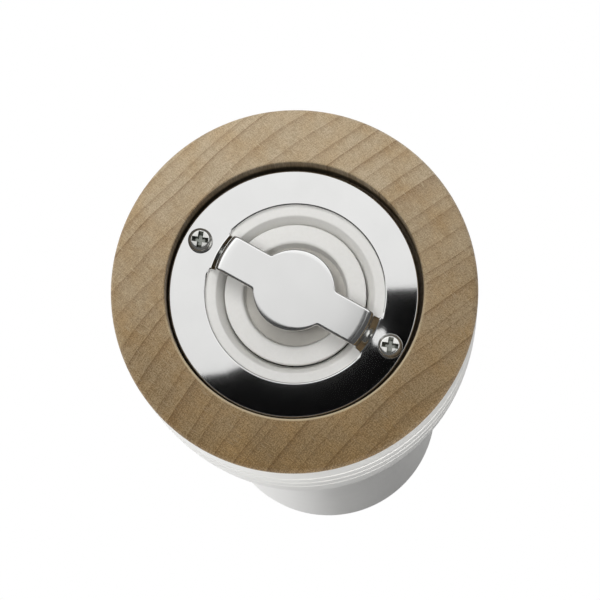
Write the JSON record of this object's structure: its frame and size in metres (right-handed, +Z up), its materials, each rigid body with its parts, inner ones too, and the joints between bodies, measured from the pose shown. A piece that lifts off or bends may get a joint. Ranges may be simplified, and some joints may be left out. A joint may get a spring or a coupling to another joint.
{
  "type": "spice mill",
  "caption": "Turned wooden spice mill with a twisting head, a square drive shaft, a ceramic cone grinder under a bridged steel plate, and a knob that sets the grind.",
  "frame": {"origin": "centre of the foot's face, on the surface that the mill stands on", "axes": "+Z up along the drive shaft, +X along the bridge's bar and the plate's screws"},
  "size_m": [0.0586, 0.0586, 0.1952],
  "materials": {
    "lacquered_beech": "white satin lacquer outside, bare sanded beech under the foot and inside",
    "polished_steel": "mirror-polished stainless steel sheet",
    "plated_steel": "bright nickel plate",
    "white_ceramic": "fine unglazed white ceramic",
    "white_plastic": "moulded, satin",
    "shaft_aluminium": "drawn bar, plain",
    "insert_brass": "turned, plain"
  },
  "bodies": {
    "base": {"body": "lacquered_beech", "base_plate": "polished_steel", "base_plate_screws": "plated_steel", "pivot_pad": "white_plastic", "stator_ring": "white_ceramic", "shaft_guide": "white_plastic", "spring_seat": "plated_steel", "grinder_spring": "plated_steel"},
    "neck_bearing": {"slip_ring": "white_plastic"},
    "top": {"head": "lacquered_beech", "drive_plate": "plated_steel", "drive_plate_screws": "plated_steel", "top_washer": "polished_steel"},
    "adjuster": {"knob": "polished_steel", "knob_insert": "insert_brass", "knob_lock_ring": "white_plastic"},
    "thrust": {"thrust_washer": "plated_steel"},
    "drive": {"drive_shaft": "shaft_aluminium", "rotor": "white_ceramic", "rotor_carrier": "white_plastic", "carrier_washer": "plated_steel", "shaft_clip": "plated_steel"}
  },
  "joints": [
    {"name": "head_lift", "type": "slide", "parent": "base", "child": "neck_bearing", "axis": [0, 0, 1], "range_m": [0, 0.085]},
    {"name": "head_turn", "type": "hinge", "parent": "neck_bearing", "child": "top", "pos_m": [0, 0, 0.1212], "axis": [0, 0, 1], "continuous": true},
    {"name": "knob_turn", "type": "hinge", "parent": "top", "child": "adjuster", "pos_m": [0, 0, 0.1803], "axis": [0, 0, 1], "range_deg": [-720, 0]},
    {"name": "grind_set", "type": "slide", "parent": "base", "child": "thrust", "axis": [0, 0, 1], "range_m": [0, 0.0016], "deforming": ["grinder_spring"]},
    {"name": "shaft_turn", "type": "hinge", "parent": "thrust", "child": "drive", "pos_m": [0, 0, 0.0194], "axis": [0, 0, 1], "continuous": true}
  ],
  "couplings": [
    {"joint": "shaft_turn", "follows": "head_turn", "ratio": 1},
    {"joint": "grind_set", "follows": "knob_turn", "m_per_rad": -0.0001273}
  ]
}
